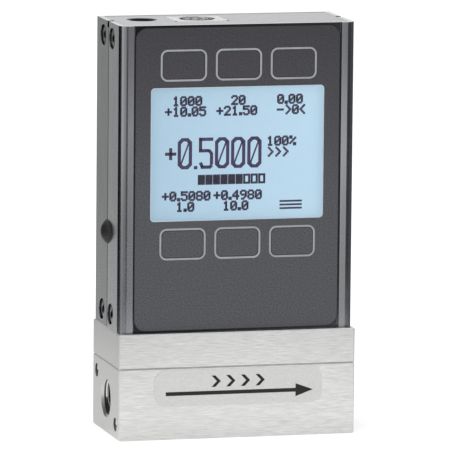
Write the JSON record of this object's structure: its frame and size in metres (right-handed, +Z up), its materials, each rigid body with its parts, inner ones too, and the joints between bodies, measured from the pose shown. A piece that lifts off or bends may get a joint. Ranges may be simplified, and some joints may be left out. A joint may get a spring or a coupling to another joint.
{
  "type": "mass flow meter",
  "caption": "Gas mass flow meter: stainless flow base with a threaded port in each end, under an aluminium housing with a film keypad, a display and top connectors.",
  "frame": {"origin": "centre of the underside of the flow base", "axes": "+X along the flow from inlet to outlet, +Y from the display side to the back, +Z up"},
  "size_m": [0.0625, 0.028, 0.1041],
  "materials": {
    "stainless": "brushed",
    "black_anodised": "satin",
    "clear_anodised": "satin",
    "black_steel": "satin",
    "black_rubber": "matt",
    "printed_film": "fine grain",
    "label_film": "frosted",
    "clear_lens": "clear",
    "display_blue": "backlit",
    "light_guide": "diffuse",
    "spring_steel": "plain",
    "nickel": "satin",
    "brass": "plain",
    "black_plastic": "moulded",
    "plunger_plastic": "moulded",
    "circuit_board": "solder mask",
    "chip": "moulded",
    "capacitor_can": "plain"
  },
  "bodies": {
    "meter": {"flow_body": "stainless", "manifold_block": "stainless", "front_shell": "black_anodised", "rear_shell": "black_anodised", "top_cap": "clear_anodised", "shell_screws": "black_steel", "block_screws": "black_steel", "display_board_screws": "black_steel", "main_board_screws": "black_steel", "sensor_board_screws": "black_steel", "side_plug": "black_rubber", "element_seals": "black_rubber", "tap_seals": "black_rubber", "sensor_seals": "black_rubber", "keypad_overlay": "printed_film", "flow_label": "label_film", "display_window": "clear_lens", "lcd_glass": "display_blue", "lcd_backlight": "light_guide", "flow_element_sleeve": "spring_steel", "flow_element_plates": "spring_steel", "element_retaining_rings": "spring_steel", "temperature_probe": "spring_steel", "lcd_frame": "spring_steel", "power_jack_spring": "spring_steel", "din_shell": "nickel", "power_jack_pin": "nickel", "din_contacts": "brass", "display_board_posts": "brass", "main_board_posts": "brass", "sensor_board_posts": "brass", "din_insulator": "black_plastic", "power_jack_body": "black_plastic", "board_connector": "black_plastic", "key_switch_1": "black_plastic", "key_switch_2": "black_plastic", "key_switch_3": "black_plastic", "key_switch_4": "black_plastic", "key_switch_5": "black_plastic", "key_switch_6": "black_plastic", "display_board": "circuit_board", "main_board": "circuit_board", "sensor_board": "circuit_board", "microcontroller": "chip", "board_chips": "chip", "differential_pressure_sensor": "chip", "absolute_pressure_sensor": "chip", "board_capacitors": "capacitor_can"},
    "key_1": {"key_plunger_1": "plunger_plastic"},
    "key_2": {"key_plunger_2": "plunger_plastic"},
    "key_3": {"key_plunger_3": "plunger_plastic"},
    "key_4": {"key_plunger_4": "plunger_plastic"},
    "key_5": {"key_plunger_5": "plunger_plastic"},
    "key_6": {"key_plunger_6": "plunger_plastic"}
  },
  "joints": [
    {"name": "key_1_press", "type": "slide", "parent": "meter", "child": "key_1", "axis": [0, 1, 0], "range_m": [0, 0.00025], "stiffness_N_per_m": 6400},
    {"name": "key_2_press", "type": "slide", "parent": "meter", "child": "key_2", "axis": [0, 1, 0], "range_m": [0, 0.00025], "stiffness_N_per_m": 6400},
    {"name": "key_3_press", "type": "slide", "parent": "meter", "child": "key_3", "axis": [0, 1, 0], "range_m": [0, 0.00025], "stiffness_N_per_m": 6400},
    {"name": "key_4_press", "type": "slide", "parent": "meter", "child": "key_4", "axis": [0, 1, 0], "range_m": [0, 0.00025], "stiffness_N_per_m": 6400},
    {"name": "key_5_press", "type": "slide", "parent": "meter", "child": "key_5", "axis": [0, 1, 0], "range_m": [0, 0.00025], "stiffness_N_per_m": 6400},
    {"name": "key_6_press", "type": "slide", "parent": "meter", "child": "key_6", "axis": [0, 1, 0], "range_m": [0, 0.00025], "stiffness_N_per_m": 6400}
  ]
}
